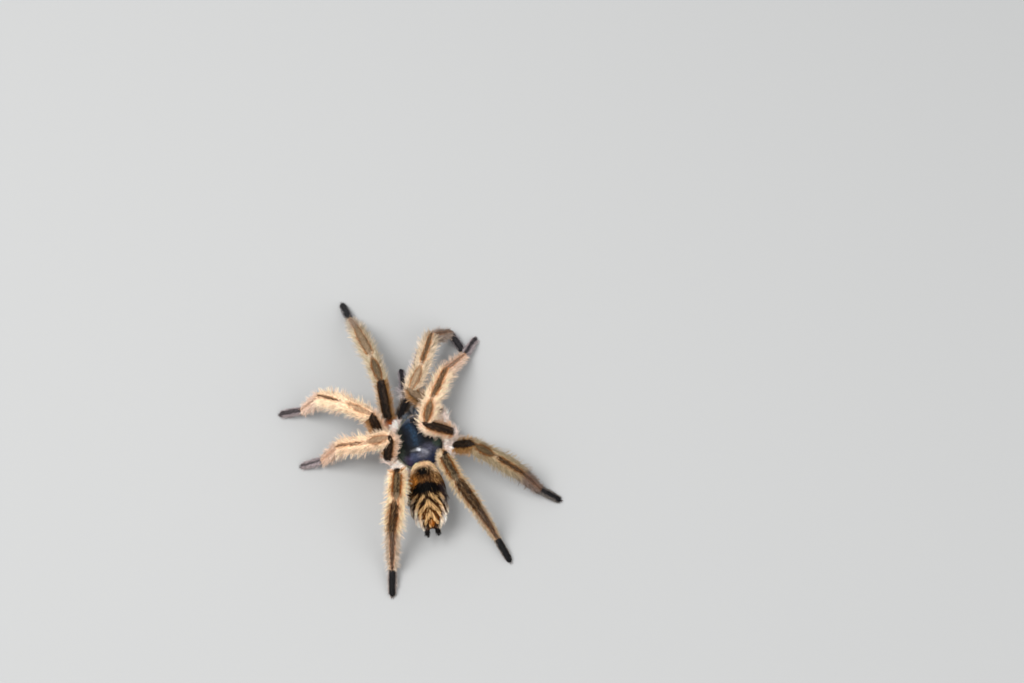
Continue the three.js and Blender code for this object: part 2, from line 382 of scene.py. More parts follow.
ORIGIN_POINT = np.array(ORIGIN)
LEGS, ABDOMEN, UNDERSIDE, JAWS, SPINNERETS = range(5)
TRUNK_GAP = 0.45
JAW_HALF_WIDTH = 4.4
ABDOMEN_SPREAD = 1.15
SPINNERET_BACK = 21.2
SPINNERET_HALF_WIDTH = 3.2


def unit_rows(vectors):
    return vectors / np.maximum(np.linalg.norm(vectors, axis=1), 1e-9)[:, None]


def row_dots(first, second):
    return np.einsum("ij,ij->i", first, second)


def places(points):
    """For each point its part of the body, and its place on the nearest segment and the trunk.

    A row is one segment of one limb, along a share of its length, and the angle is taken
    from its top.
    """
    best = np.full(len(points), np.inf)
    row = np.zeros(len(points), int)
    along = np.zeros(len(points))
    for r in range(len(ROWS)):
        offset = points - ROW_START[r]
        share = np.clip(offset @ ROW_AXIS[r] / ROW_LENGTH[r], 0, 1)
        gap = np.linalg.norm(offset - share[:, None] * ROW_SPAN[r], axis=1)
        gap -= ROW_RADII[r, 0] * (1 - share) + ROW_RADII[r, 1] * share
        nearer = gap < best
        best[nearer], row[nearer], along[nearer] = gap[nearer], r, share[nearer]
    offset = points - ROW_START[row]
    angle = np.arctan2(row_dots(offset, ROW_SIDE[row]), row_dots(offset, ROW_TOP[row]))
    local = points - ORIGIN_POINT
    swing = ABDOMEN_SWING
    rear = -(local[:, 1] - ABDOMEN_FRONT_Y)
    back = rear * math.cos(swing) - local[:, 0] * math.sin(swing)
    across = local[:, 0] * math.cos(swing) + rear * math.sin(swing)
    width, length, height = ABDOMEN_FLESH
    egg = np.sqrt((across / width * 2) ** 2 + ((back - ABDOMEN_LENGTH / 2) / length * 2) ** 2
                  + ((local[:, 2] - ABDOMEN_Z + 0.5) / height * 2) ** 2)
    part = np.full(len(points), LEGS)
    trunk = best > TRUNK_GAP
    part[trunk] = UNDERSIDE
    part[trunk & (local[:, 1] > JAW_REAR_Y + 0.2) & (np.abs(local[:, 0]) < JAW_HALF_WIDTH)] = JAWS
    part[(egg < ABDOMEN_SPREAD) & (best > 0.1)] = ABDOMEN
    part[(back > SPINNERET_BACK) & (np.abs(across) < SPINNERET_HALF_WIDTH) & (egg > 1.08)] = SPINNERETS
    return {"part": part, "row": row, "limb": ROW_LIMB[row], "segment": ROW_SEGMENT[row],
            "along": along, "angle": angle, "back": back, "across": across, "local": local}


# Markings
# Legs carry a dark stripe along the top between apricot bands, with a pale ring at the
# knee; the abdomen is golden with a black spot, a black band and streaks behind it.
def paint(*shades):
    """A colour, or rows of them, given as it looks on a screen, 0 to 255, as plain light."""
    shades = np.array(shades) / 255
    return np.where(shades <= 0.04045, shades / 12.92, ((shades + 0.055) / 1.055) ** 2.4)


def by_limb(given, usual):
    """A value for each limb: the given one, or else the usual one."""
    return np.array([given.get(limb, usual) for limb in LIMB_NAMES])


NO_SHANK = (0, 0, 0)
LEG_SHADES = {
    "stripe": ((26, 16, 9), (84, 64, 44), (52, 33, 18), (58, 40, 30), (10, 9, 11)),
    "streak": ((90, 64, 44), (142, 116, 82), (140, 104, 68), (150, 118, 98), (28, 25, 30)),
    "rim": ((58, 32, 14), (142, 78, 24), (92, 50, 18), (94, 60, 40), (24, 20, 23)),
    "edge": ((214, 138, 62), (186, 112, 44), (218, 134, 62), (208, 146, 106), (112, 100, 102)),
    "band": ((255, 217, 178), (255, 220, 182), (255, 221, 185), (226, 196, 173), (146, 134, 134)),
    "fringe": ((246, 216, 192), (247, 217, 188), (248, 218, 188), (232, 207, 188), (188, 176, 174)),
}
PALP_SHADES = {
    "stripe": ((18, 15, 17), (88, 82, 78), (40, 34, 44), NO_SHANK, (26, 22, 28)),
    "streak": ((36, 30, 30), (132, 124, 118), (84, 74, 88), NO_SHANK, (60, 54, 64)),
    "rim": ((20, 17, 18), (84, 74, 70), (92, 80, 78), NO_SHANK, (34, 30, 34)),
    "edge": ((44, 34, 28), (130, 114, 104), (134, 118, 110), NO_SHANK, (92, 84, 88)),
    "band": ((54, 44, 38), (146, 136, 132), (164, 154, 156), NO_SHANK, (148, 138, 142)),
    "fringe": ((134, 118, 104), (206, 198, 194), (214, 205, 206), NO_SHANK, (202, 192, 196)),
}
TINT_DEPTH = {"stripe": 0.5, "streak": 0.6, "rim": 0.6, "edge": 0.8, "band": 1.0, "fringe": 0.7}
NO_TINT = (1.0, 1.0, 1.0)
# Each leg's tint; the dark tints of leg_l1, leg_r1 and leg_r3 are painted shade, for legs that lie in
# shadow.
LIMB_TINTS_AND_SHADE = by_limb({
    "leg_l1": (0.51, 0.58, 0.59),
    "leg_r1": (0.68, 0.74, 0.77),
    "leg_l2": (0.96, 0.94, 0.94),
    "leg_l3": (0.93, 0.91, 0.91),
    "leg_l4": (1.0, 0.98, 0.86),
    "leg_r3": (0.35, 0.37, 0.32),
    "leg_r4": (0.58, 0.59, 0.49),
}, NO_TINT)
# The shanks' own tints on top; the dark shanks of leg_r1 and leg_r3 are painted shade.
SHANK_TINTS_AND_SHADE = LIMB_TINTS_AND_SHADE * by_limb({
    "leg_l3": (0.86, 0.82, 0.78),
    "leg_l4": (0.74, 0.80, 0.88),
    "leg_r1": (0.42, 0.40, 0.40),
    "leg_r2": (0.82, 0.80, 0.78),
    "leg_r3": (0.62, 0.56, 0.66),
}, NO_TINT)
STRIPE_HALF_ANGLE = np.array([1.0, 0.92, 0.86, 0.66, 0.75])
STREAK_SHARE = np.array([0.45, 0.6, 0.5, 0.6, 0.5])
LEAF_SHARES = by_limb({
    "leg_l1": 0.85, "leg_l2": 0.58, "leg_l3": 0.85, "leg_r1": 0.72, "leg_r2": 0.84, "leg_r3": 0.85,
}, 1.0)
SHIN_SHARES = by_limb({
    "leg_l1": 0.8, "leg_l2": 0.3, "leg_l3": 0.28,
    "leg_r1": 0.45, "leg_r2": 0.6, "leg_r3": 0.46, "leg_r4": 1.3,
}, 1.0)
FOOT_SHARES = by_limb({
    "leg_l1": 1.2, "leg_l2": 0.85, "leg_l3": 0.35, "leg_l4": 1.4,
    "leg_r1": 1.2, "leg_r2": 0.65, "leg_r3": 0.8, "leg_r4": 1.4,
}, 1.0)
FADE_SHARES = by_limb({
    "leg_l1": (0.0, 0.1, 0.45, 0.6, 0.1),
    "leg_l2": (0.0, 0.45, 0.0, 0.35, 0.2),
    "leg_l3": (0.0, 0.35, 0.1, 0.7, 0.25),
    "leg_r1": (0.3, 0.5, 0.1, 0.4, 0.1),
    "leg_r2": (0.0, 0.05, 0.05, 0.3, 0.1),
    "leg_r3": (0.0, 0.05, 0.0, 0.2, 0.0),
}, (0.0,) * 5)
EDGE_SHARES = by_limb({"leg_l2": 0.45, "leg_l3": 0.55}, 0.85)
# Per limb, the direction of the thigh's flank that is painted a darker gold-brown: painted shade on the side
# turned from the light.
SHADED_GOLD_SIDES = by_limb({
    "leg_l1": (1.0, 0.0), "leg_l2": (-0.6, -0.8), "leg_l3": (-0.6, -0.8),
    "leg_r1": (-0.3, -0.4), "leg_r3": (-0.6, -0.8),
}, (0.0, 0.0))
HIND = by_limb({"leg_l4": True, "leg_r4": True}, False)
ORANGE_ROOT = by_limb({"leg_l1": True}, False)


def step(low, high, value):
    share = np.clip((value - low) / (high - low), 0, 1)
    return share * share * (3 - 2 * share)


def blend(first, second, share):
    return first * (1 - share[:, None]) + second * share[:, None]


def layered(shade, *layers):
    """A shade with layers of other colours laid over it, each to its own share."""
    for colour, share in layers:
        shade = blend(shade, colour, share)
    return shade


def ripple(points, scale):
    """A smooth pattern between -1 and 1 for uneven edges."""
    x, y, z = (points * scale).T
    return (np.sin(x * 1.7 + 1.3 * np.sin(y * 1.1 + z)) + np.sin(y * 2.3 + 1.7 * np.sin(z * 1.3 + x))
            + np.sin(z * 1.9 + 1.1 * np.sin(x * 1.5 - y))) / 3


def stripe_half(place):
    """Half the angle that the dark stripe takes up on top of a leg."""
    segment, limb, along = place["segment"], place["limb"], place["along"]
    half = STRIPE_HALF_ANGLE[segment].copy()
    leaf = np.sin(np.pi * np.clip(along / 0.92, 0.02, 0.98)) ** 0.6 * LEAF_SHARES[limb]
    foot = FOOT_SHARES[limb] * (1 + 0.8 * step(0.7, 1.0, along))
    half *= np.where((segment == PATELLA) & ~HIND[limb], leaf, 1)
    half *= np.where((segment == TIBIA) | (segment == METATARSUS), SHIN_SHARES[limb], 1)
    half *= np.where(segment == TIBIA, 0.5 + 0.5 * np.clip((along - 0.03) / 0.12, 0, 1), 1)
    half *= np.where(segment == METATARSUS, 1 - 0.45 * along, 1)
    half *= np.where(segment == TARSUS, foot, 1)
    return half


def stripe_share(place, points):
    """How much of the dark top stripe a point of a leg carries."""
    edge = stripe_half(place) + 0.11 * ripple(points, 1.6) + 0.08 * ripple(points, 5.5)
    return step(-0.16, 0.16, edge - np.abs(place["angle"]))


def limb_shade(place, shade):
    """One shade of the legs and palps by segment, with each leg's tint, which on some legs is painted shade.
    """
    segment, limb, along = place["segment"], place["limb"], place["along"]
    palp = ROW_PALP[place["row"]][:, None]
    colour = np.where(palp, paint(*PALP_SHADES[shade])[segment], paint(*LEG_SHADES[shade])[segment])
    tibia, shank = segment == TIBIA, segment == METATARSUS
    toward_shank = np.where(tibia, 0.5 * step(0.7, 1.0, along), 0.5 + 0.5 * step(0.0, 0.3, along))
    tint = blend(LIMB_TINTS_AND_SHADE[limb], SHANK_TINTS_AND_SHADE[limb], toward_shank * (tibia | shank))
    return colour * tint ** TINT_DEPTH[shade]


SPOT_BACK = 5.4
BAND_BACK = 10.5


def abdomen_colours(place, points):
    """Colours of the skin and of the hair tips over the abdomen."""
    back = place["back"] + 0.3 * ripple(points, 0.9)
    across = place["across"] + 0.2 * ripple(points, 1.4)
    side = np.abs(across)
    height = place["local"][:, 2]
    strand = 0.5 + 0.5 * np.sin(6.5 * across + 1.4 * np.sin(1.1 * back) + 2.5 * ripple(points, 0.8))
    black, under = paint(8, 7, 6), paint(112, 84, 64)
    # The golden front darkens to brown toward the right side: painted shade on the side away from the light.
    golden = layered(
        paint(222, 144, 62),
        (paint(104, 68, 38), step(-1.5, 2.0, across)),
        (paint(236, 186, 122), 0.5 * step(0.6, 0.9, strand) * step(-3.5, 1.5, across)),
        (paint(72, 38, 14), 0.75 * step(0.5, 0.2, strand)),
    )
    crescent_edge = back - 0.05 * across ** 2
    spot = np.hypot(back - SPOT_BACK, (across + 0.2) * 0.95)
    umber = step(3.3, 2.0, spot) + step(6.0, 7.2, back) * step(2.6, 1.2, side)
    past_band = back - (BAND_BACK + 0.03 * across ** 2)
    band = step(2.6, 1.6, np.abs(past_band) + 0.05 * across ** 2)
    behind = step(1.0, 2.2, past_band)
    tan = blend(paint(228, 182, 124), paint(255, 230, 204), step(2.4, 4.4, side + 0.25 * (back - 16)))
    tan = tan * (0.5 + 0.5 * strand)[:, None]
    furrow = blend(paint(34, 18, 6), paint(78, 40, 10), step(14.5, 18.5, back))
    flank = blend(paint(52, 34, 20), paint(48, 38, 40), step(0, 1, across))
    tuft = step(1.0, 0.5, np.hypot(back - SPINNERET_BACK, across - 0.3) * 0.85)
    beneath = step(4.4, 2.8, height)
    tips = layered(
        paint(255, 212, 166),
        (golden, step(3.9, 5.4, crescent_edge)),
        (paint(70, 46, 26), 0.85 * np.clip(umber, 0, 1)),
        (black, step(2.2, 1.4, spot)),
        (blend(furrow, tan, abdomen_lock(back, side)), behind),
        (black, band),
        (flank, 0.9 * step(3.4, 4.6, side) * step(16.0, 14.2, back) * step(8.0, 10.0, back)),
        (paint(255, 242, 230), 0.9 * step(3.0, 4.0, side) * step(18.8, 20.4, back + 0.3 * side)),
        (paint(206, 200, 194), 0.6 * step(5.2, 6.2, side) * step(9, 12, back) * step(19.5, 18.0, back)),
        # Black hair at the two spinnerets beside the tail is partly their own dark colour and partly painted
        # shade.
        (black, step(20.6, 21.2, back) * step(0.85, 0.6, np.abs(side - 1.45))),
        (paint(172, 98, 32), tuft * step(5, 7, height)),
        (under, beneath),
    )
    skin_shade = layered(
        golden * 0.6,
        (black, np.maximum(band, step(1.6, 1.0, spot))),
        (paint(60, 34, 14), behind * (1 - band)),
        (paint(255, 206, 164) * 0.8, step(4.0, 3.0, crescent_edge)),
        (under * 0.8, beneath),
    )
    return skin_shade, tips


def abdomen_lock(back, side):
    """1 on the crest of a lock of hair, 0 in the gap; the locks spread outward and back."""
    phase = (back - (1.15 + 0.1 * np.maximum(0, back - 14)) * side) / 2.9
    return step(0.46, 0.86, 0.5 + 0.5 * np.cos(2 * np.pi * (phase - 0.09)))


def markings(points, part=None):
    """Skin, hair root, hair tip and long fringe colours for points of the skin."""
    place = places(points)
    part = place["part"] if part is None else part
    stripe = stripe_share(place, points)
    half = stripe_half(place)
    leg = ~ROW_PALP[place["row"]]
    dark, streak, rim, edge, band, fringe = (
        limb_shade(place, shade) for shade in ("stripe", "streak", "rim", "edge", "band", "fringe"))
    segment, limb, along = place["segment"], place["limb"], place["along"]
    off = np.abs(place["angle"])
    dark = np.where((HIND[limb] & (segment == PATELLA))[:, None], dark * 0.4, dark)
    inside = off / np.maximum(half, 0.05)
    lines = step(-0.2, 0.7, np.sin(8 * place["angle"] / np.maximum(half, 0.05) + 2.2 * ripple(points, 1.3)))
    fade = FADE_SHARES[limb, segment]
    dark = blend(dark, streak, STREAK_SHARE[segment] * lines * step(0.75, 0.35, inside))
    dark = blend(dark, 0.3 * edge + 0.7 * band, fade)
    dark = blend(dark, rim, (0.85 - 0.45 * fade) * step(0.5, 0.8, inside))
    dark *= (0.85 + 0.3 * ripple(points, 5.0))[:, None]
    band = blend(band, edge, EDGE_SHARES[limb] * step(0.36, 0.04, off - half) * leg)
    thigh = (segment == FEMUR) & leg
    white_share = step(0.1, 0.36, off - half) * thigh
    # The darker gold-brown flank of the thigh is painted shade.
    toward_shaded_side = (ROW_SIDE[place["row"], :2] * SHADED_GOLD_SIDES[limb]).sum(axis=1) * np.sign(place["angle"])
    golden = step(0.0, 0.4, toward_shaded_side) * thigh * step(2.4, 1.8, off)
    band = blend(band, fringe, 0.7 * white_share)
    fringe = blend(fringe, edge, 0.6 * (1 - white_share) * thigh)
    shaded_gold = paint(146, 104, 56)
    band, fringe = blend(band, shaded_gold, 0.85 * golden), blend(fringe, 1.6 * shaded_gold, 0.75 * golden)
    ring = ((segment == PATELLA) * step(0.9, 1.0, along) + (segment == TIBIA) * step(0.07, 0.0, along)) * leg
    ring = np.clip(ring * np.where(HIND[limb], 0.25, 0.8), 0, 1)
    # Skin and hair roots are painted a little darker than the tips: painted shade deep in the fur.
    skin_shade = blend(blend(band * 0.9, dark, stripe), fringe * 0.9, 0.5 * ring * step(1.5, 0.9, off))
    roots = blend(band * 0.94, dark * 0.85, stripe)
    tips = blend(blend(band, dark, stripe), fringe, 0.6 * ring * step(1.3, 0.6, off))
    pale = paint(255, 234, 222)
    toward_root = np.where(HIND[limb], step(0.6, 0.42, along), step(0.2, 0.08, along)) * (segment == FEMUR)
    root_shade = np.where(ORANGE_ROOT[limb][:, None], paint(196, 104, 50), pale)
    shades = [blend(shade, root_shade, 0.85 * toward_root) for shade in (skin_shade, roots, tips, fringe)]
    belly_skin, belly = abdomen_colours(place, points)
    local = place["local"]
    outer = step(3.6, 6.2, np.hypot(local[:, 0], local[:, 1] - 3.5)) * step(3.4, 4.8, local[:, 2])
    hip = blend(paint(78, 56, 44), pale, outer)
    # In each row the skin and roots are darker than the tips, as painted shade deep in the fur.
    trunk_shades = {
        ABDOMEN: (belly_skin, belly * 0.9, belly, belly),
        UNDERSIDE: (hip * 0.85, hip * 0.92, hip, hip),
        JAWS: paint((46, 50, 56), (66, 71, 79), (106, 113, 122), (164, 166, 170)),
        SPINNERETS: paint((12, 9, 8), (10, 8, 7), (18, 13, 11), (60, 40, 26)),
    }
    for trunk_part, its_shades in trunk_shades.items():
        on_it = (part == trunk_part)[:, None]
        shades = [np.where(on_it, its_own, shade) for its_own, shade in zip(its_shades, shades)]
    return [np.clip(shade, 0, 1) for shade in shades]


def store_colour(mesh, name, colours):
    """Gives each point of a mesh its colour, under a name that the material reads."""
    layer = mesh.color_attributes.new(name, "FLOAT_COLOR", "POINT")
    full = np.ones((len(colours), 4))
    full[:, :3] = colours
    layer.data.foreach_set("color", full.ravel())


store_colour(skin.data, "Marking", markings(skin_points)[0])

# Skin finish
# Dull leathery cuticle with fine pores, tinted by the markings. Its fine mottle is one
# group of nodes, which the hair, the plate, the eyes and the horn use too.


def add_node(tree, kind, **values):
    """A new shader node with some of its sockets set."""
    node = tree.nodes.new("ShaderNode" + kind)
    set_inputs(node, **values)
    return node


def wire(source, socket, target, into):
    """Links a socket of one node to a socket of another in the same tree."""
    source.id_data.links.new(source.outputs[socket], target.inputs[into])


mottle_group = bpy.data.node_groups.new("fine_mottle", "ShaderNodeTree")
for name, kind, value in (("Color", "Color", (1, 1, 1, 1)), ("Scale", "Float", 1500),
                          ("Darkest", "Float", 0.6), ("Palest", "Float", 1.3)):
    socket = mottle_group.interface.new_socket(name=name, in_out="INPUT", socket_type="NodeSocket" + kind)
    socket.default_value = value
for name, kind in (("Color", "Color"), ("Mask", "Float")):
    mottle_group.interface.new_socket(name=name, in_out="OUTPUT", socket_type="NodeSocket" + kind)
given, result = mottle_group.nodes.new("NodeGroupInput"), mottle_group.nodes.new("NodeGroupOutput")
place_on = add_node(mottle_group, "TexCoord")
cloud = add_node(mottle_group, "TexNoise", Detail=3)
spread = add_node(mottle_group, "MapRange", From_Min=0.3, From_Max=0.7)
tinted = mottle_group.nodes.new("ShaderNodeMix")
tinted.data_type = "RGBA"
tinted.blend_type = "MULTIPLY"
tinted.inputs["Factor"].default_value = 1.0
wire(place_on, "Object", cloud, "Vector")
wire(given, "Scale", cloud, "Scale")
wire(cloud, "Fac", spread, "Value")
wire(given, "Darkest", spread, "To Min")
wire(given, "Palest", spread, "To Max")
wire(given, "Color", tinted, "A")
wire(spread, "Result", tinted, "B")
wire(tinted, "Result", result, "Color")
wire(cloud, "Fac", result, "Mask")


def new_finish(name, roughness, mottle_scale, darkest=0.6, palest=1.3, attribute=None):
    """A material, its shader and its mottle, which shades the colours that a mesh carries."""
    finish = bpy.data.materials.new(name)
    finish.use_nodes = True
    shader = finish.node_tree.nodes["Principled BSDF"]
    set_inputs(shader, Roughness=roughness)
    mottle = finish.node_tree.nodes.new("ShaderNodeGroup")
    mottle.node_tree = mottle_group
    set_inputs(mottle, Scale=mottle_scale, Darkest=darkest, Palest=palest)
    if attribute:
        carried = add_node(finish.node_tree, "Attribute")
        carried.attribute_name = attribute
        wire(carried, "Color", mottle, "Color")
        wire(mottle, "Color", shader, "Base Color")
    return finish, shader, mottle


def cuticle_finish(name, roughness, gloss):
    """Cuticle tinted by the Marking colours, with pores."""
    finish, shader, _ = new_finish(name, roughness, 1500, attribute="Marking")
    set_inputs(shader, Specular_IOR_Level=gloss)
    place_on = add_node(finish.node_tree, "TexCoord")
    pores = add_node(finish.node_tree, "TexNoise", Scale=5200, Detail=3)
    bump = add_node(finish.node_tree, "Bump", Strength=0.5, Distance=0.0001)
    wire(place_on, "Object", pores, "Vector")
    wire(pores, "Fac", bump, "Height")
    wire(bump, "Normal", shader, "Normal")
    return finish


skin.data.materials.append(cuticle_finish("skin_cuticle", 0.66, 0.2))
limb_nodes = [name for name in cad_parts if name.startswith(("leg_", "palp_"))]
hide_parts("sternum", "abdomen", "chelicera_l", "chelicera_r", "spinneret_l", "spinneret_r",
            *limb_nodes)

# Leg coat
# Dense fine hair grows from the skin and leans toward the toe: short and flat on the dark
# stripe, long and soft on the apricot sides, with longer single hairs standing out. Each
# hair is a thin closed spike with its own tint.
DICE = np.random.default_rng(11)
BAKE_PATCH = 0.003
ROOT_DEPTH = 0.12
LIFT_AT_ROOT = 1.2
LIFT_AT_TIP = 0.65
LOWEST_TIP = 0.02


def surface_of(piece, points):
    """The faces of a mesh in millimetres, with their areas, middles and normals.

    Their order is that of their corners, so that every run draws the same hairs.
    """
    mesh = piece.data
    mesh.calc_loop_triangles()
    faces = np.empty(len(mesh.loop_triangles) * 3, np.int32)
    mesh.loop_triangles.foreach_get("vertices", faces)
    faces = faces.reshape(-1, 3)
    faces = faces[np.lexsort(faces.T)]
    normals = np.empty(len(points) * 3, np.float32)
    mesh.vertex_normals.foreach_get("vector", normals)
    corners = points[faces]
    across = np.cross(corners[:, 1] - corners[:, 0], corners[:, 2] - corners[:, 0])
    return {"points": points, "faces": faces, "normals": normals.reshape(-1, 3).astype(float),
            "area": np.linalg.norm(across, axis=1) / 2, "middle": corners.mean(axis=1)}


def scatter(surface, density):
    """Hair roots over a surface, so many to a square millimetre of each face."""
    expected = surface["area"] * density
    count = np.floor(expected + DICE.random(len(expected))).astype(int)
    face = np.repeat(np.arange(len(count)), count)
    first, second = DICE.random((2, len(face)))
    fold = first + second > 1
    first[fold], second[fold] = 1 - first[fold], 1 - second[fold]
    share = np.stack([1 - first - second, first, second], axis=1)
    corners = surface["faces"][face]
    points = np.einsum("ij,ijk->ik", share, surface["points"][corners])
    normals = unit_rows(np.einsum("ij,ijk->ik", share, surface["normals"][corners]))
    return points, normals


skin_surface = surface_of(skin, skin_points)
FACE_PLACE = places(skin_surface["middle"])
FACE_STRIPE = stripe_share(FACE_PLACE, skin_surface["middle"])
FACE_UP = skin_surface["normals"][skin_surface["faces"]].mean(axis=1)[:, 2]


def along_surface(heading, normals, share=1.0):
    """A heading turned to lie in the surface, or a share of the way to that."""
    return unit_rows(heading - normals * (share * row_dots(heading, normals))[:, None])


def lean(lay, normals, lift):
    return lay * np.cos(lift)[:, None] + normals * np.sin(lift)[:, None]


def spikes(points, normals, lay, length, lift, width, roots, tips, bake,
           rings=3, clump=0.0, spacing=0.5, leading=0.12, unrest=0.2):
    """Tapered three-sided hairs as points, faces, colours, bake places and normals.

    Where there is clumping, hairs lean to the tip of the nearest leading hair and share
    its tint.
    """
    count = len(points)
    length, lift, width = (np.broadcast_to(value, count) for value in (length, lift, width))
    across = np.cross(normals, lay)
    turn = unrest * DICE.standard_normal(count) + 0.22 * ripple(points, 0.7)
    lay = along_surface(lean(lay, across, turn), normals)
    lift = lift * (1 + 0.16 * DICE.standard_normal(count))
    start, finish = (lean(lay, normals, lift * share) for share in (LIFT_AT_ROOT, LIFT_AT_TIP))
    length = length * (0.78 + 0.44 * DICE.random(count))
    roots_in = points - normals * ROOT_DEPTH
    ends = roots_in + length[:, None] * (start + finish) / 2
    pull = np.zeros((count, 3))
    tint = 1 + 0.14 * DICE.standard_normal(count) + 0.1 * ripple(points, 2.4)
    if clump:
        leaders = DICE.choice(count, max(1, int(count * leading)), replace=False)
        tree = KDTree(len(leaders))
        for i, leader in enumerate(leaders):
            tree.insert(points[leader], i)
        tree.balance()
        nearest = leaders[np.array([tree.find(point)[1] for point in points])]
        near = np.linalg.norm(points[nearest] - points, axis=1) < spacing * 2
        pull = (ends[nearest] - ends) * (clump * near)[:, None]
        tint *= (1 + 0.15 * DICE.standard_normal(count))[nearest]
    side = unit_rows(np.cross(lay, normals))
    stations = np.array([0.0, 0.4, 0.75] if rings == 3 else [0.0, 0.55])
    girths = np.array([0.8, 1.0, 0.62] if rings == 3 else [0.9, 0.8])
    each = rings * 3 + 1
    corners, shades = np.empty((count, each, 3)), np.empty((count, each, 3))
    facing = np.repeat((0.7 * normals + [0, 0, 0.45])[:, None], each, axis=1)
    for i, (station, girth) in enumerate(zip(stations, girths)):
        bend = start * (station - station ** 2 / 2) + finish * station ** 2 / 2
        middle = roots_in + length[:, None] * bend + pull * station ** 2
        heading = unit_rows(start * (1 - station) + finish * station)
        below = np.cross(heading, side)
        radius = (width / 2 * girth)[:, None]
        for k in range(3):
            turn = math.radians(90 + 120 * k)
            outward = side * math.cos(turn) + below * (0.7 * math.sin(turn))
            corners[:, i * 3 + k] = middle + radius * outward
            facing[:, i * 3 + k] += 0.5 * outward
            shades[:, i * 3 + k] = blend(roots, tips, np.full(count, min(1.0, station * 1.5)))
    corners[:, -1] = ends + pull
    shades[:, -1] = tips * 1.06
    corners[:, :, 2] = np.maximum(corners[:, :, 2], LOWEST_TIP)
    shades = np.clip(shades * np.clip(tint, 0.5, 1.5)[:, None, None], 0, 1)
    faces, flat = [(0, 2, 1)], [((0, 0), (0.66, 0), (0.33, 0))]
    for i in range(rings):
        for k in range(3):
            a, b, low = i * 3 + k, i * 3 + (k + 1) % 3, stations[i]
            left, right = k / 3, (k + 1) / 3
            if i < rings - 1:
                high = stations[i + 1]
                faces += [(a, b, b + 3), (a, b + 3, a + 3)]
                flat += [((left, low), (right, low), (right, high)),
                         ((left, low), (right, high), (left, high))]
            else:
                faces.append((a, b, rings * 3))
                flat.append(((left, low), (right, low), (left + 0.167, 1)))
    all_faces = (np.arange(count) * each)[:, None, None] + np.array(faces)
    all_flat = bake[:, None, None] + np.array(flat) * BAKE_PATCH
    return [rows.reshape(-1, rows.shape[-1]) for rows in (corners, all_faces, shades, all_flat)] + [
        unit_rows(facing.reshape(-1, 3))]


def hair_finish(name, roughness):
    """Hair tinted strand by strand, with a fine mottle."""
    finish, shader, mottle = new_finish(name, roughness, 2600, darkest=0.86, palest=1.14, attribute="Hair")
    set_inputs(shader, Specular_IOR_Level=0.04)
    gloss = add_node(finish.node_tree, "MapRange", To_Min=roughness - 0.1, To_Max=roughness + 0.1)
    wire(mottle, "Mask", gloss, "Value")
    wire(gloss, "Result", shader, "Roughness")
    return finish


SOFT_HAIR = hair_finish("soft_hair", 0.58)


def coat_piece(name, groups, finish=SOFT_HAIR):
    """One mesh from groups of spikes, with its colours and its bake map."""
    corners, faces, shades, flat, facing = zip(*groups)
    offsets = np.cumsum([0] + [len(group) for group in corners[:-1]])
    corners = np.concatenate(corners)
    faces = np.concatenate([group + offset for group, offset in zip(faces, offsets)]).astype(np.int32)
    mesh = bpy.data.meshes.new(name)
    mesh.vertices.add(len(corners))
    write_points(mesh, corners)
    mesh.loops.add(len(faces) * 3)
    mesh.loops.foreach_set("vertex_index", faces.ravel())
    mesh.polygons.add(len(faces))
    mesh.polygons.foreach_set("loop_start", np.arange(len(faces), dtype=np.int32) * 3)
    mesh.update(calc_edges=True)
    mesh.shade_smooth()
    store_colour(mesh, "Hair", np.concatenate(shades))
    mesh.normals_split_custom_set_from_vertices(np.concatenate(facing))
    bake_map = mesh.uv_layers.new(name="OFBake")
    bake_map.data.foreach_set("uv", np.concatenate(flat).ravel())
    piece = bpy.data.objects.new(name, mesh)
    bpy.context.collection.objects.link(piece)
    mesh.materials.append(finish)
    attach(piece, "root")
    print(name, len(faces))


def limb_bake(place, limbs, segments):
    """A place on the limbs' skin, rolled out in one strip to each limb."""
    limb = place["limb"]
    rank = np.searchsorted(np.array(limbs), limb)
    walked = ROW_BEFORE[place["row"]] + place["along"] * ROW_LENGTH[place["row"]]
    low, high = np.zeros(len(LIMB_NAMES)), np.ones(len(LIMB_NAMES))
    for n in limbs:
        rows = np.flatnonzero((ROW_LIMB == n) & np.isin(ROW_SEGMENT, segments))
        low[n] = ROW_BEFORE[rows[0]]
        high[n] = ROW_BEFORE[rows[-1]] + ROW_LENGTH[rows[-1]]
    along = (walked - low[limb]) / (high[limb] - low[limb])
    across = (rank + 0.5 + 0.44 * place["angle"] / np.pi) / len(limbs)
    return np.stack([across, 0.03 + 0.93 * np.clip(along, 0, 1)], axis=1)


SIDE_LENGTH = np.array([1.85, 1.8, 2.05, 1.9, 1.0])
GUARD_LENGTH = np.array([2.6, 3.1, 3.5, 3.1, 1.45])
TOP_LENGTH = np.array([1.3, 1.9, 2.1, 1.8, 0.8])
STRIPE_LENGTH = np.array([0.8, 0.85, 0.85, 0.8, 0.7])
FULLNESS = by_limb({
    "leg_l1": 0.85, "leg_r1": 0.9, "leg_r4": 0.66, "leg_r3": 0.92, "palp_l": 0.85, "palp_r": 0.85,
}, 1.0)


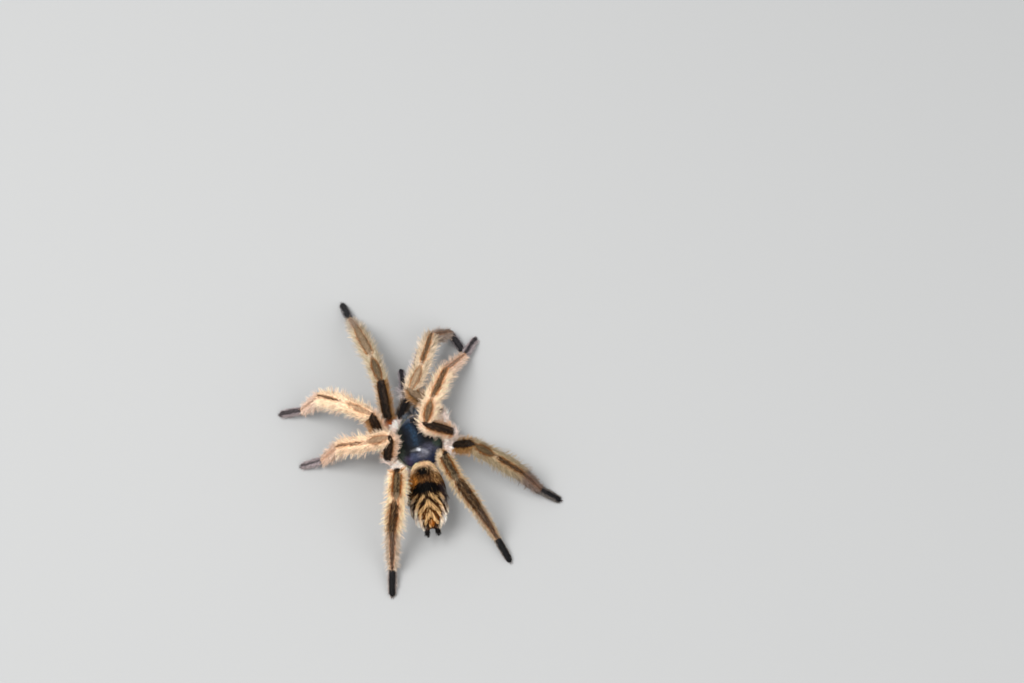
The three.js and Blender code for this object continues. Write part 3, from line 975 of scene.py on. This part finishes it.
def leg_hair(limbs, segments, side_density, stripe_density, guard_density):
    """Stripe hair, side hair, guard hair and standing top hair for some segments of some limbs."""
    wanted = ((FACE_PLACE["part"] == LEGS) & np.isin(FACE_PLACE["limb"], limbs)
              & np.isin(FACE_PLACE["segment"], segments))
    seen = np.where(FACE_UP > -0.35, 1.0, 0.7)
    face_off = np.abs(FACE_PLACE["angle"])
    densities = {
        "stripe": wanted * FACE_STRIPE * stripe_density,
        "side": wanted * (1 - FACE_STRIPE * 0.85) * side_density * seen,
        "guard": wanted * step(0.5, 0.95, face_off) * guard_density * seen,
        "top": wanted * step(1.1, 0.7, face_off) * guard_density * 0.3,
    }
    groups = []
    for kind, density in densities.items():
        points, normals = scatter(skin_surface, density)
        place = places(points)
        _, roots, tips, fringe = markings(points + 0.25 * DICE.standard_normal(points.shape), place["part"])
        segment = place["segment"]
        lay = along_surface(ROW_AXIS[place["row"]], normals)
        full = FULLNESS[place["limb"]] * (1 - 0.38 * place["along"] * (segment == METATARSUS))
        off = np.abs(place["angle"])
        side = step(0.55, 1.25, off) * (1 - 0.35 * step(2.0, 2.9, off))
        foot = segment == TARSUS
        if kind == "stripe":
            length, lift, width = STRIPE_LENGTH[segment], 0.28, 0.13
            habit = {"rings": 2}
        elif kind == "side":
            length, width = SIDE_LENGTH[segment] * full * (0.55 + 0.45 * side), 0.125
            lift = (0.3 + 0.5 * side) * np.where(foot, 0.8, 1)
            tips = blend(tips, fringe, 0.45 * side * DICE.random(len(points)))
            habit = {"clump": 0.5, "spacing": 0.4, "leading": 0.2}
        elif kind == "guard":
            length, width = GUARD_LENGTH[segment] * full * (0.7 + 0.3 * side), 0.115
            lift = np.where(foot, 0.75, 1.16)
            roots, tips = tips, fringe
            habit = {"clump": 0.8, "spacing": 0.6, "leading": 0.42, "unrest": 0.24}
        else:
            length, lift, width = TOP_LENGTH[segment] * full, 0.75, 0.1
            pale_share = np.where((segment == FEMUR) | foot, 0.1, 0.32)
            tips = blend(tips, fringe, pale_share * DICE.random(len(points)))
            habit = {"unrest": 0.3}
        bake = limb_bake(place, limbs, segments)
        groups.append(spikes(points, normals, lay, length, lift, width, roots, tips, bake, **habit))
    return groups


for pair_name, pair in (("left_front", ("leg_l1", "leg_l2")), ("left_rear", ("leg_l3", "leg_l4")),
                        ("right_front", ("leg_r1", "leg_r2")), ("right_rear", ("leg_r3", "leg_r4"))):
    limbs = [LIMB_NAMES.index(limb) for limb in pair]
    coat_piece("thigh_hair_" + pair_name, leg_hair(limbs, [FEMUR], 11, 13, 3.2))
    coat_piece("shin_hair_" + pair_name, leg_hair(limbs, [PATELLA, TIBIA], 15, 15, 4.0))
    coat_piece("ankle_hair_" + pair_name, leg_hair(limbs, [METATARSUS], 15, 15, 4.0))
every_leg = [n for n, limb in enumerate(LIMB_NAMES) if limb.startswith("leg")]
coat_piece("foot_hair", leg_hair(every_leg, [TARSUS], 12, 14, 3.0))

# Palp coat
# The two feelers beside the jaws wear short grey-brown hair, darker on the thigh and foot.
# It is grown as that of the legs is.
both_palps = [n for n, limb in enumerate(LIMB_NAMES) if limb.startswith("palp")]
coat_piece("palp_hair", leg_hair(both_palps, [FEMUR, PATELLA, TIBIA, TARSUS], 14, 14, 2.5))

# Abdomen coat
# The bag of the abdomen is thick with hair: a short apricot crescent in front, black
# velvet across the middle and long tan locks behind, which spread outward and back.
ABDOMEN_DENSITY = 24
ABDOMEN_BACK = np.array([-math.sin(ABDOMEN_SWING), -math.cos(ABDOMEN_SWING), 0])
ABDOMEN_ACROSS = np.array([math.cos(ABDOMEN_SWING), -math.sin(ABDOMEN_SWING), 0])


def abdomen_bake(place):
    """A place on the abdomen's skin, unrolled from a seam beneath it."""
    round_about = np.arctan2(place["across"], place["local"][:, 2] - ABDOMEN_Z + 0.5)
    along = np.clip(place["back"] / (ABDOMEN_LENGTH + 0.4), 0, 1)
    return np.stack([0.5 + 0.46 * round_about / np.pi, 0.03 + 0.92 * along], axis=1)


def abdomen_hair(wanted):
    """Hair for the wanted faces of the abdomen, where single strands stray from their colour."""
    wanted = wanted & (FACE_PLACE["part"] == ABDOMEN)
    points, normals = scatter(skin_surface, wanted * np.where(FACE_UP > -0.3, 1.0, 0.55) * ABDOMEN_DENSITY)
    place = places(points)
    back, across = place["back"], place["across"]
    side = np.abs(across)
    rear = step(10.5, 14.0, back)
    stray = np.where(DICE.random(len(points)) < 0.2, 3.2, 1.0) * (0.22 - 0.11 * rear)
    drift = DICE.standard_normal(points.shape) * [1, 1, 0] * stray[:, None]
    _, roots, tips, _ = markings(points + drift, place["part"])
    fan = np.sign(across) * (0.1 + 0.62 * step(0.2, 2.2, side)) * (0.35 + 0.65 * rear) * step(24, 17, back)
    lay = along_surface(np.outer(np.cos(fan), ABDOMEN_BACK) + np.outer(np.sin(fan), ABDOMEN_ACROSS), normals)
    lock = abdomen_lock(back + 0.3 * ripple(points, 0.9), np.abs(across + 0.2 * ripple(points, 1.4)))
    crest = rear * lock
    front = step(4.2, 2.4, back)
    tail = step(20.4, 21.0, back) * step(2.4, 2.0, side)
    margin = step(2.8, 3.8, side) * step(18.0, 20.0, back)
    length = (1.2 + 0.6 * front + 0.2 * rear + 1.0 * crest + 0.7 * margin) * (1 - 0.55 * tail)
    lift = 0.4 - 0.08 * front - 0.12 * rear + 0.2 * crest + 0.1 * margin
    lift = np.where(normals[:, 2] < 0, lift * 0.6, lift)
    return [spikes(points, normals, lay, length, lift, 0.14 + 0.05 * crest, roots, tips, abdomen_bake(place),
                   clump=0.5, spacing=0.5, leading=0.16, unrest=0.12)]


in_front = FACE_PLACE["back"] < 11
coat_piece("abdomen_hair_front", abdomen_hair(in_front))
coat_piece("abdomen_hair_rear", abdomen_hair(~in_front))

# Spinneret coat
# The two spinnerets at the tail are dark fingers with short flat hair, which runs back
# to their tips.
SPINNERET_DENSITY = 18.0
points, normals = scatter(skin_surface, (FACE_PLACE["part"] == SPINNERETS) * SPINNERET_DENSITY)
place = places(points)
_, roots, tips, _ = markings(points)
lay = along_surface(ABDOMEN_BACK + 0 * points, normals)
coat_piece("spinneret_hair",
           [spikes(points, normals, lay, 1.1, 0.55, 0.11, roots, tips, abdomen_bake(place))])

# Underside coat
# Pale tufts stand between the shield and the legs and clothe the hips; beneath, the
# breast plate and hips are short-haired and dark.
HIP_DENSITY = (20.0, 8.0)
HIP_MAP = (26, 36)
SHIELD_COVER = (7.3, 8.4)
SHIELD_COVER_Z = 7.2


def two_sided_bake(across, along, normals):
    """A place on a flat map with the underside in its left half and the top in its right."""
    return np.stack([np.where(normals[:, 2] < 0, across * 0.48, 0.52 + across * 0.46), along], axis=1)


local = FACE_PLACE["local"]
cover = np.hypot(local[:, 0] / SHIELD_COVER[0], (local[:, 1] - SHIELD_MIDDLE_Y) / SHIELD_COVER[1])
under_shield = (cover < 1) & (local[:, 2] > SHIELD_COVER_Z)
on_underside = (FACE_PLACE["part"] == UNDERSIDE) & ~under_shield
points, normals = scatter(skin_surface, on_underside * np.where(FACE_UP > -0.2, *HIP_DENSITY))
local = places(points)["local"]
_, roots, tips, _ = markings(points)
outward = unit_rows((local - [0, TRUNK_Y, 0]) * [1, 1, 0])
upper = step(5.0, 7.0, local[:, 2])
bake = two_sided_bake(0.5 + local[:, 0] / HIP_MAP[0], 0.45 + (local[:, 1] - TRUNK_Y) / HIP_MAP[1], normals)
coat_piece("hip_hair",
           [spikes(points, normals, along_surface(outward, normals), 1.0 + 1.7 * upper, 0.4 + 0.55 * upper,
                   0.15, roots, tips, bake, clump=0.7, spacing=0.6, leading=0.1, unrest=0.28)])

# Jaw coat
# The two stout jaws wear short slate hair that runs forward and down to the fangs, and
# grows longer and paler toward them.
JAW_DENSITY = 18.0
JAW_MAP = (11, 9)
JAW_HEADING = np.array([0, 1.0, -0.35])
points, normals = scatter(skin_surface, (FACE_PLACE["part"] == JAWS) * JAW_DENSITY)
local = places(points)["local"]
_, roots, tips, fringe = markings(points)
forward = unit_rows(JAW_HEADING + 0 * points)
ahead = local[:, 1] - JAW_REAR_Y
tip_share = step(3.2, 6.2, ahead)
bake = two_sided_bake(0.5 + local[:, 0] / JAW_MAP[0], 0.06 + ahead / JAW_MAP[1], normals)
coat_piece("jaw_hair",
           [spikes(points, normals, along_surface(forward, normals), 0.75 + 0.5 * tip_share,
                   0.3 + 0.2 * tip_share, 0.11, roots, blend(tips, fringe, 0.6 * tip_share), bake)])

# Shield
# The carapace is one hard plate, domed over the head, with a pit behind its middle and
# shallow grooves running out from the pit to the legs. Dark blue velvet clothes it.
SHIELD_RIM_Z = 8.9
SHIELD_HALF = (7.45, 8.6)
SHIELD_RISE = 3.45
HEAD_RISE = 1.0
HEAD_Y = 7.4
PIT_DEPTH = 0.6
GROOVE_DEPTH = 0.1
GROOVE_TURNS = (38, 78, 112, 150)
NECK_DEPTH = 0.14
VELVET_DENSITY = 22.0
RIM_DENSITY = 26.0
SHIELD_MAP = (17, 19)


def shield_relief(x, y):
    """Height added by the head and taken by the pit and grooves, in millimetres."""
    head = HEAD_RISE * np.exp(-((y - HEAD_Y) / 3.4) ** 2 - (x / 3.1) ** 2)
    pit = PIT_DEPTH * np.exp(-(y / 0.42) ** 2 - (x / 1.1) ** 2)
    reach = np.hypot(x, y)
    turn = np.degrees(np.arctan2(np.abs(x), y))
    grooves = np.zeros_like(reach)
    for groove in GROOVE_TURNS:
        off = reach * np.sin(np.radians(np.clip(turn - groove, -80, 80)))
        grooves += np.exp(-(off / 0.6) ** 2) * step(0.9, 2.4, reach) * step(8.2, 6.0, reach)
    neck = np.exp(-((turn - GROOVE_TURNS[0]) * reach / 57 / 0.7) ** 2)
    neck = neck * step(1.0, 3.0, reach) * step(9.5, 6.5, reach)
    return head - pit - GROOVE_DEPTH * grooves - NECK_DEPTH * neck


def shield_shape(unit):
    """The points of the plate for those of a ball: a dome above the rim, flat below it."""
    x, y, z = unit.T
    narrowing = 1 - 0.2 * np.maximum(y, -0.3) ** 2 - 0.1 * y
    out_x = x * SHIELD_HALF[0] * narrowing
    out_y = SHIELD_MIDDLE_Y + y * SHIELD_HALF[1]
    above = z > 0
    out_z = SHIELD_RIM_Z + np.where(above, z * SHIELD_RISE, z * 0.45)
    out_z = out_z + np.where(above, shield_relief(out_x, out_y) * step(0.0, 0.3, z), 0)
    return np.stack([out_x, out_y, out_z], axis=1) + ORIGIN_POINT


def shield_colours(points):
    """Black-blue velvet with a painted petrol-blue sheen down the head, a painted highlight along the front
    edge, dusty patches and the pale pit in the middle.
    """
    local = points - ORIGIN_POINT
    x, y = local[:, 0], local[:, 1]
    uneven = ripple(points, 1.1)
    # The petrol-blue path down the head is a painted reflection, a sheen of light on the velvet.
    sheen_path_x = -0.7 - 0.16 * np.maximum(y - 1.5, 0) + 0.5 * np.exp(-((y - 5.6) / 1.4) ** 2)
    off_sheen = np.abs(x - sheen_path_x + 0.3 * uneven)
    painted_sheen = step(1.5, 0.2, off_sheen) * step(0.8, 2.6, y) * step(10.5, 8.2, y)
    dusty = step(3.2, 1.0, np.hypot((x - 2.6) * 0.7, (y + 0.3) * 1.1)) * (0.75 + 0.25 * ripple(points, 3.2))
    navy = blend(paint(48, 38, 58), paint(28, 34, 56), step(-4.5, -1.5, x))
    slate = step(1.9, 0.5, np.hypot((x + 2.2) * 0.8, y + 1.7 + 0.3 * uneven))
    green = step(1.9, 0.7, np.hypot(x - 5.6, (y - 1.6) * 0.9)) + 0.8 * step(-4.2, -6.0, x + 0.4 * uneven)
    green = np.clip(green, 0, 1) * (0.75 + 0.25 * ripple(points, 2.4))
    core = step(1.3, 0.3, np.hypot((x + 0.4) / 0.75, (y - 0.3) / 0.5))
    left_wing = 0.18 * step(1.4, 0.2, np.hypot((x + 1.5) / 1.5, (y - 0.35) / 0.5))
    right_wing = 0.17 * step(1.5, 0.2, np.hypot((x - 1.1) / 1.6, (y + 0.35 + 0.5 * (x - 1.1)) / 0.7))
    shade = layered(
        paint(8, 9, 12),
        # Painted sheen: navy fading out around the path, then the petrol-blue path itself.
        (paint(13, 22, 34), 0.9 * step(3.4, 1.2, off_sheen) * step(0.6, 2.4, y)),
        (paint(28, 56, 80), 0.75 * painted_sheen * (0.6 + 0.4 * ripple(points, 2.6))),
        # Painted highlight: a pale grey-blue band along the front edge of the plate.
        (paint(84, 92, 106), 0.8 * step(9.0, 10.6, y + 0.3 * uneven)),
        (paint(76, 76, 92), 0.75 * dusty),
        (navy, 0.85 * step(-0.2, -1.8, y + 0.5 * uneven)),
        (paint(66, 74, 96), 0.5 * slate),
        (paint(96, 96, 106), 0.7 * step(1.7, 0.4, np.hypot((x - 0.7) * 0.6, y + 1.5))),
        (paint(58, 70, 58), 0.7 * green),
        (paint(206, 208, 214), np.maximum(core, np.maximum(left_wing, right_wing))),
    )
    return np.clip(shade * (1 + 0.22 * ripple(points, 4.0))[:, None], 0, 1)


shield = new_ball(144, 90)
shield.name = "shield"
shield_points = shield_shape(read_points(shield.data))
write_points(shield.data, shield_points)
bpy.ops.object.shade_smooth()
store_colour(shield.data, "Marking", shield_colours(shield_points))
shield_finish = cuticle_finish("shield_plate", 0.66, 0.15)
shield.data.materials.append(shield_finish)
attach(shield, "root")
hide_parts("carapace")


def shield_bake(local):
    """A place on a flat map of the plate, seen from above."""
    along = (local[:, 1] - SHIELD_MIDDLE_Y) / SHIELD_MAP[1]
    return np.stack([0.5 + local[:, 0] / SHIELD_MAP[0], 0.5 + along], axis=1)


shield_surface = surface_of(shield, shield_points)
above_rim = shield_surface["middle"][:, 2] - SHIELD_RIM_Z
points, normals = scatter(shield_surface, (above_rim > 0.05) * VELVET_DENSITY)
local = points - ORIGIN_POINT
outward = unit_rows((local + np.outer(local[:, 1] > 1, [0, 0.8, 0])) * [1, 1, 0])
velvet = shield_colours(points)
# The velvet's roots are painted darker, as shade deep in the nap; its tips are paler than the plate.
velvet_hair = spikes(points, normals, along_surface(outward, normals), 0.6, 0.24, 0.1,
                     velvet * 0.6, velvet * 1.35, shield_bake(local),
                     rings=2, clump=0.4, spacing=0.3, unrest=0.2)
points, normals = scatter(shield_surface, (np.abs(above_rim) < 0.3) * RIM_DENSITY)
local = points - ORIGIN_POINT
outward = unit_rows((local - [0, SHIELD_MIDDLE_Y, 0]) * [1.3, 1, 0])
rim_pale = blend(paint(214, 192, 176), paint(150, 148, 132), step(0, -3, local[:, 0]))
# The rim hairs' roots are painted darker too, as painted shade.
rim_hair = spikes(points, normals, along_surface(outward, normals, 0.7), 1.25, 0.5, 0.1,
                  rim_pale * 0.45, rim_pale, shield_bake(local), unrest=0.35)
coat_piece("shield_hair", [velvet_hair, rim_hair], hair_finish("velvet_nap", 0.78))

# Eyes
# Eight small round eyes sit on one low mound at the front of the head. They are clear
# and dark, and wet-looking.
MOUND_SIZE = (2.5, 1.6, 1.35)
SHIELD_HEIGHT = 3.6
EYE_PLACES = (
    (0.38, 0.45, 0.42, 0.34),
    (0.85, 0.5, 0.05, 0.3),
    (0.85, -0.35, 0.12, 0.26),
    (0.5, -0.5, 0.35, 0.22),
)
mound_y = SHIELD_MIDDLE_Y + SHIELD_LENGTH * 0.37
mound_middle = ORIGIN + Vector((0, mound_y, SHIELD_RIM_Z + SHIELD_HEIGHT * 0.82))
mound = new_ball(48, 28)
mound.name = "eye_mound"
mound.data.transform(Matrix.Diagonal(Vector(MOUND_SIZE) / 2).to_4x4())
mound.data.transform(Matrix.Translation(mound_middle))
mound.data.transform(Matrix.Scale(MM, 4))
bpy.ops.object.shade_smooth()
store_colour(mound.data, "Marking", np.outer(np.ones(len(mound.data.vertices)), paint(20, 20, 24)))
mound.data.materials.append(shield_finish)
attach(mound, "root")
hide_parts("eye_tubercle")

eye_balls = []
for side in (-1, 1):
    for out, ahead, up, radius in EYE_PLACES:
        middle = mound_middle + Vector((side * out * 1.25, ahead * 1.6, up))
        bpy.ops.mesh.primitive_uv_sphere_add(segments=24, ring_count=16, radius=radius * MM,
                                             location=middle * MM)
        eye_balls.append(bpy.context.object)
eyes = join_parts(eye_balls, "eyes")
bpy.ops.object.transform_apply(location=True, rotation=True, scale=True)
bpy.ops.object.shade_smooth()


def polished_finish(name, roughness, mottle_scale, dark, bright, coat):
    """Horn or a wet lens, which wanders between two shades under a clear gloss."""
    finish, shader, mottle = new_finish(name, roughness, mottle_scale)
    wander = add_node(finish.node_tree, "ValToRGB")
    wander.color_ramp.elements[0].color = dark
    wander.color_ramp.elements[1].color = bright
    wire(mottle, "Mask", wander, "Fac")
    wire(wander, "Color", shader, "Base Color")
    set_inputs(shader, Coat_Weight=coat, Coat_Roughness=0.03)
    return finish


eyes.data.materials.append(
    polished_finish("wet_eye", 0.06, 1800, (0.006, 0.004, 0.003, 1), (0.05, 0.022, 0.008, 1), 1.0))
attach(eyes, "root")

# Fangs
# Two curved black fangs of polished horn hinge at the jaws' front and fold back under
# them; they redden toward the tip.
FANG_LENGTH = 4.6
FANG_RADIUS = 0.68
FANG_TIP_RADIUS = 0.05
FANG_HINGE_Z = 3.6
FANG_CLOSING = 0.84
FANG_DROP = 1.2
FANG_CURVE = 1.3
horn_finish = polished_finish("black_horn", 0.18, 900, (0.004, 0.003, 0.003, 1), (0.07, 0.016, 0.01, 1), 0.6)
for side, name in ((-1, "fang_l"), (1, "fang_r")):
    hinge = ORIGIN + Vector((side * JAW_X, JAW_REAR_Y + JAW_LENGTH * 0.86, FANG_HINGE_Z))
    horn = new_ball(32, 40)
    horn.name = name.replace("fang", "horn")
    for vertex in horn.data.vertices:
        unit = vertex.co.copy()
        share = 0.5 - 0.5 * unit.z
        radius = FANG_RADIUS * (1 - share) ** 0.7 + FANG_TIP_RADIUS
        ring = Vector((unit.x, 0, -unit.y))
        if ring.length > 1e-6:
            ring.normalize()
        ring *= radius * min(1.0, math.sqrt(max(0, 1 - unit.z ** 2)) * 2.4)
        drop = -FANG_DROP * share - FANG_CURVE * share * (1 - share)
        middle = hinge + Vector((-side * FANG_CLOSING * share, -FANG_LENGTH * share + 0.3, drop))
        vertex.co = (middle + ring) * MM
    bpy.ops.object.shade_smooth()
    horn.data.materials.append(horn_finish)
    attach(horn, "root")
    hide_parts(name)

# Claws
# Each foot ends in two small hooked claws of the same horn as the fangs, half hidden in
# its pad.
CLAW_LENGTH = 0.8
CLAW_RADIUS = 0.13
CLAW_TIP_RADIUS = 0.02
CLAW_Z = 0.72
claw_parts = []
for limb, joints in JOINTS.items():
    if limb.startswith("palp"):
        continue
    ahead = joints[-1] - joints[-2]
    ahead.z = 0
    ahead.normalize()
    aside = Vector((ahead.y, -ahead.x, 0))
    for side in (-1, 1):
        bpy.ops.mesh.primitive_cone_add(vertices=12, radius1=CLAW_RADIUS, radius2=CLAW_TIP_RADIUS,
                                        depth=CLAW_LENGTH, location=(0, 0, 0), end_fill_type="NGON")
        claw = bpy.context.object
        bpy.ops.object.mode_set(mode="EDIT")
        bpy.ops.mesh.select_all(action="SELECT")
        bpy.ops.mesh.subdivide(number_cuts=3)
        bpy.ops.object.mode_set(mode="OBJECT")
        for vertex in claw.data.vertices:
            share = vertex.co.z / CLAW_LENGTH + 0.5
            forward = ahead * (0.7 + CLAW_LENGTH * 0.85 * share)
            middle = joints[-1] + forward + aside * side * (0.22 + 0.12 * share)
            middle.z = CLAW_Z - 0.5 * share ** 2
            vertex.co = (middle + aside * vertex.co.x + Vector((0, 0, vertex.co.y))) * MM
        claw_parts.append(claw)
claws = join_parts(claw_parts, "claws")
bpy.ops.object.mode_set(mode="EDIT")
bpy.ops.mesh.select_all(action="SELECT")
bpy.ops.mesh.normals_make_consistent(inside=False)
bpy.ops.object.mode_set(mode="OBJECT")
bpy.ops.object.shade_smooth()
claws.data.materials.append(horn_finish)
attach(claws, "root")
